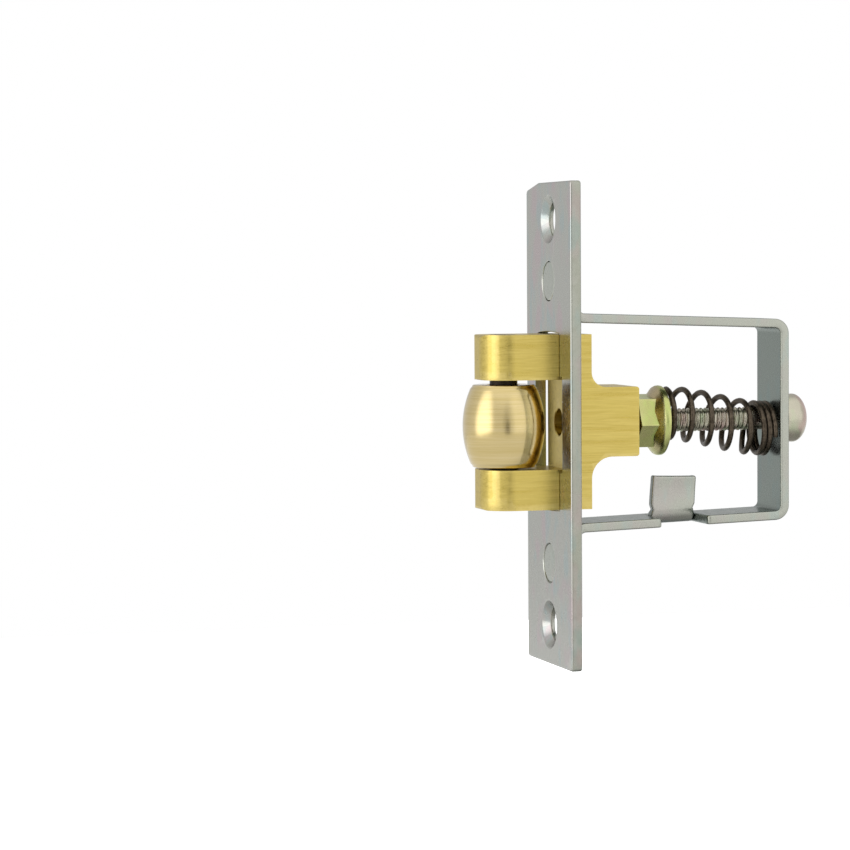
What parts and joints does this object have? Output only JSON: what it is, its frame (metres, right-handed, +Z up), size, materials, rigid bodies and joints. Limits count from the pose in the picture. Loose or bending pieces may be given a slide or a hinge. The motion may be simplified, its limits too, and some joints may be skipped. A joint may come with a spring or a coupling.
{
  "type": "roller catch",
  "caption": "Spring-loaded roller catch for a door edge: a barrel roller in a sliding fork behind a flat face plate, with an adjusting screw, lock nut and bent strap frame.",
  "frame": {"origin": "centre of the forend's back face, on the axis of the adjusting screw", "axes": "+X into the door, so the roller points along -X; +Z up along the forend; Y across the door edge"},
  "size_m": [0.0625, 0.025, 0.0835],
  "materials": {
    "zinc_plate": "bright zinc plating with a faint iridescent tint",
    "zinc_strap": "bright zinc plating",
    "rivet_zinc": "bright zinc plating",
    "brushed_brass": "brushed along its length",
    "turned_brass": "turned and polished",
    "black_steel": "blackened",
    "screw_zinc": "zinc plating with a pale pink and green tint",
    "yellow_zinc": "yellow passivated zinc",
    "spring_steel": "dark oiled spring wire"
  },
  "bodies": {
    "case": {"forend": "zinc_plate", "frame": "zinc_strap", "rivet_upper": "rivet_zinc", "rivet_lower": "rivet_zinc"},
    "spring": {"spring": "spring_steel"},
    "screw": {"adjusting_screw": "screw_zinc", "flange_nut": "yellow_zinc"},
    "carrier": {"roller_carrier": "brushed_brass", "roller_pin": "black_steel"},
    "roller": {"roller": "turned_brass"}
  },
  "joints": [
    {"name": "roller_travel", "type": "slide", "parent": "case", "child": "spring", "axis": [1, 0, 0], "range_m": [0, 0.011], "stiffness_N_per_m": 3100, "springref_m": -0.0057, "deforming": ["spring"]},
    {"name": "screw_turn", "type": "hinge", "parent": "spring", "child": "screw", "pos_m": [0.0406, 0, 0], "axis": [1, 0, 0], "range_deg": [0, 1080]},
    {"name": "projection_adjust", "type": "slide", "parent": "spring", "child": "carrier", "axis": [-1, 0, 0], "range_m": [0, 0.0024]},
    {"name": "roller_spin", "type": "hinge", "parent": "carrier", "child": "roller", "pos_m": [-0.0101, 0, 0], "axis": [0, 0, 1], "continuous": true}
  ],
  "couplings": [
    {"joint": "screw_turn", "follows": "projection_adjust", "rad_per_m": 7854}
  ]
}
